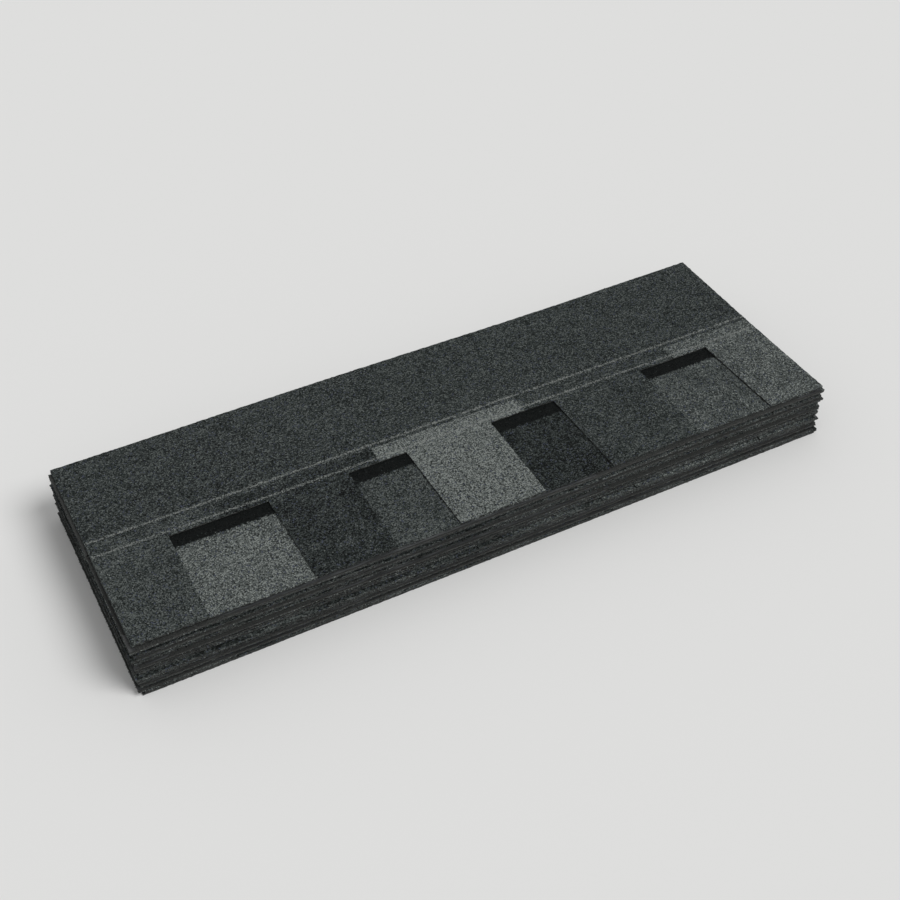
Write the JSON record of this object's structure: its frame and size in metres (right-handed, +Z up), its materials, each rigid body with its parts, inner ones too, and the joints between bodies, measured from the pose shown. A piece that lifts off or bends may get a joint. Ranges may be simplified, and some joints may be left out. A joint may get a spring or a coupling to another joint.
{
  "type": "bundle of laminated asphalt shingles",
  "caption": "Flat stack of laminated asphalt shingles with varied square teeth, packed in nested back-to-back pairs, charcoal grey granules, unwrapped.",
  "frame": {"origin": "centre of the bundle's resting face, on the floor", "axes": "+X along the shingles, left to right; +Z up; -Y towards the butt edge of the top shingle"},
  "size_m": [1.009, 0.343, 0.0847],
  "materials": {
    "granule_front": "mineral granules, matte, blended greys",
    "granule_back": "mineral granules, matte, darker greys",
    "sealant": "glossy black asphalt sealant",
    "release_film": "thin clear film"
  },
  "bodies": {
    "root": {"shingle_01_front_layer": "granule_front", "shingle_02_front_layer": "granule_front", "shingle_03_front_layer": "granule_front", "shingle_04_front_layer": "granule_front", "shingle_05_front_layer": "granule_front", "shingle_06_front_layer": "granule_front", "shingle_07_front_layer": "granule_front", "shingle_08_front_layer": "granule_front", "shingle_09_front_layer": "granule_front", "shingle_10_front_layer": "granule_front", "shingle_11_front_layer": "granule_front", "shingle_12_front_layer": "granule_front", "shingle_13_front_layer": "granule_front", "shingle_14_front_layer": "granule_front", "shingle_15_front_layer": "granule_front", "shingle_16_front_layer": "granule_front", "shingle_17_front_layer": "granule_front", "shingle_18_front_layer": "granule_front", "shingle_19_front_layer": "granule_front", "shingle_20_front_layer": "granule_front", "shingle_21_front_layer": "granule_front", "shingle_22_front_layer": "granule_front", "shingle_01_back_layer": "granule_back", "shingle_02_back_layer": "granule_back", "shingle_03_back_layer": "granule_back", "shingle_04_back_layer": "granule_back", "shingle_05_back_layer": "granule_back", "shingle_06_back_layer": "granule_back", "shingle_07_back_layer": "granule_back", "shingle_08_back_layer": "granule_back", "shingle_09_back_layer": "granule_back", "shingle_10_back_layer": "granule_back", "shingle_11_back_layer": "granule_back", "shingle_12_back_layer": "granule_back", "shingle_13_back_layer": "granule_back", "shingle_14_back_layer": "granule_back", "shingle_15_back_layer": "granule_back", "shingle_16_back_layer": "granule_back", "shingle_17_back_layer": "granule_back", "shingle_18_back_layer": "granule_back", "shingle_19_back_layer": "granule_back", "shingle_20_back_layer": "granule_back", "shingle_21_back_layer": "granule_back", "shingle_22_back_layer": "granule_back", "sealant_dashes": "sealant", "release_films": "release_film"}
  },
  "joints": []
}
